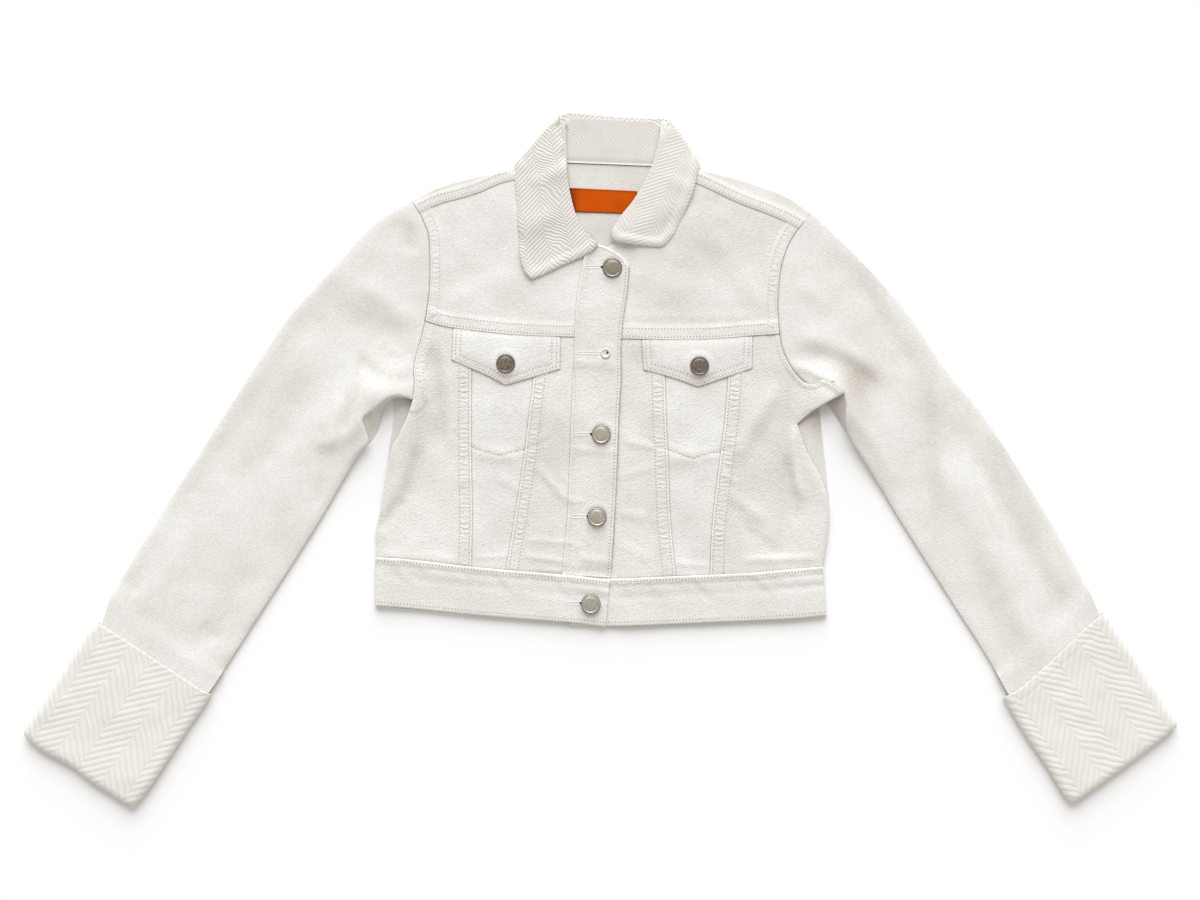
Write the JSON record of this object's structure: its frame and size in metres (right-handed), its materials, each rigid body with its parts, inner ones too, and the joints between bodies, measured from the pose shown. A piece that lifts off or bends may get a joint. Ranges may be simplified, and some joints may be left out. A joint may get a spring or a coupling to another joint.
{
  "type": "denim jacket",
  "caption": "Cropped denim jacket laid flat, front up, with a herringbone collar, wide turned-back cuffs, flap pockets and metal buttons.",
  "frame": {"origin": "centre of the outline on the surface that the jacket lies on", "axes": "+X to the right of the garment as seen from above, +Y up to the collar, +Z out of the surface to the viewer"},
  "size_m": [1.0714, 0.645, 0.0109],
  "materials": {
    "denim": "off-white cotton twill, matt",
    "herringbone": "off-white heavy herringbone cotton, matt, deep ribs",
    "label": "orange woven strip, plain",
    "metal": "grey bronze, worn",
    "white_plastic": "off-white, satin"
  },
  "bodies": {
    "root": {"back_yoke": "denim", "back_body": "denim", "waistband_back": "denim", "front_yoke_left": "denim", "front_yoke_right": "denim", "side_front_left": "denim", "side_front_right": "denim", "mid_panel_left": "denim", "mid_panel_right": "denim", "centre_front_left": "denim", "centre_front_right": "denim", "placket": "denim", "flap_left": "denim", "flap_right": "denim", "waistband_left": "denim", "waistband_right": "denim", "sleeve_left": "denim", "sleeve_right": "denim", "collar_fall": "herringbone", "collar_stand": "herringbone", "cuff_left": "herringbone", "cuff_right": "herringbone", "label": "label", "button_1": "metal", "button_3": "metal", "button_4": "metal", "button_waist": "metal", "button_flap_left": "metal", "button_flap_right": "metal", "button_2": "white_plastic"}
  },
  "joints": []
}
